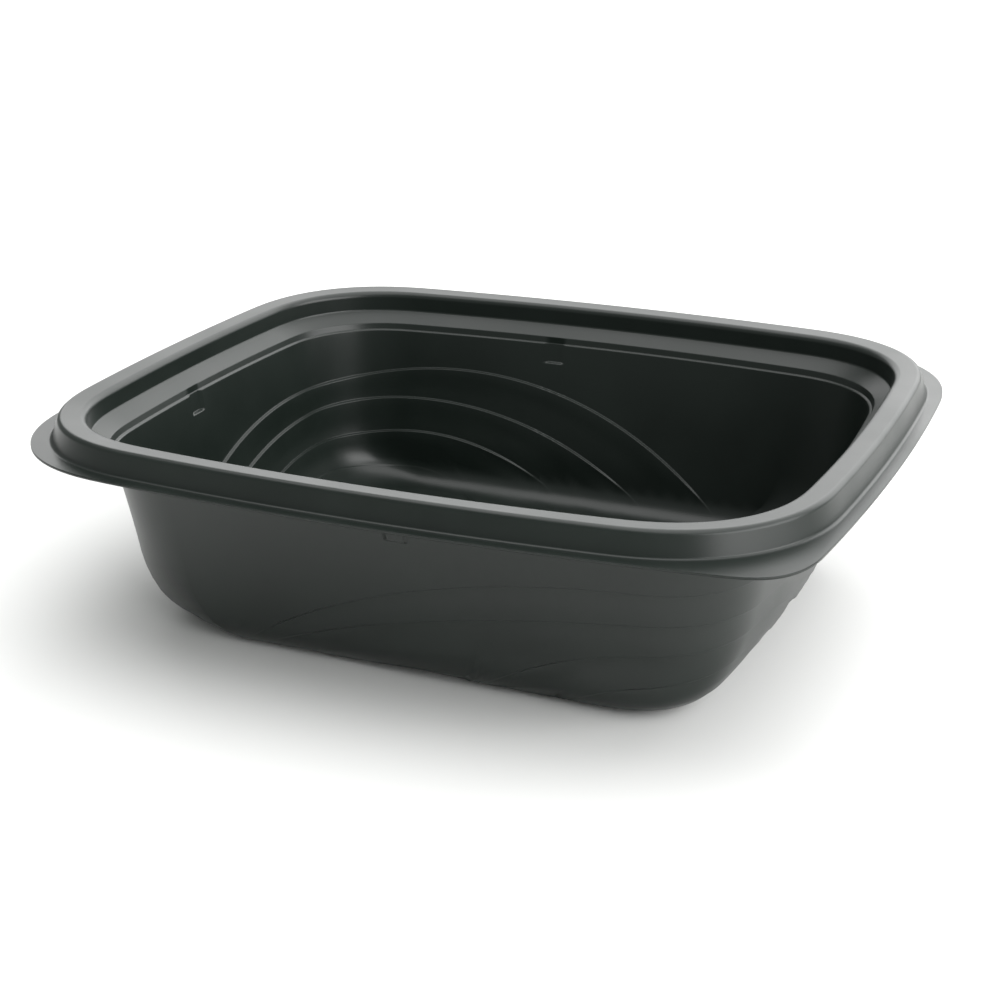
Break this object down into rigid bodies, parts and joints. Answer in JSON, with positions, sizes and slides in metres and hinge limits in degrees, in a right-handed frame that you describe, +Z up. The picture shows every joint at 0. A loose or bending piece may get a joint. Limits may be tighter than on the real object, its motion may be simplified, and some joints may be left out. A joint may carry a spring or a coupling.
{
  "type": "takeaway meal tray",
  "caption": "Shallow bowed rectangular takeaway tray in dark plastic, with a raised lid rim, sloping ledge, peel tabs and rippled corner walls.",
  "frame": {"origin": "centre of the underside of the base", "axes": "+X along the longer side, +Y across the tray, +Z up out of its mouth"},
  "size_m": [0.2158, 0.1824, 0.0576],
  "materials": {
    "dark_plastic": "satin, very dark greenish black formed sheet"
  },
  "bodies": {
    "root": {"tray": "dark_plastic"}
  },
  "joints": []
}
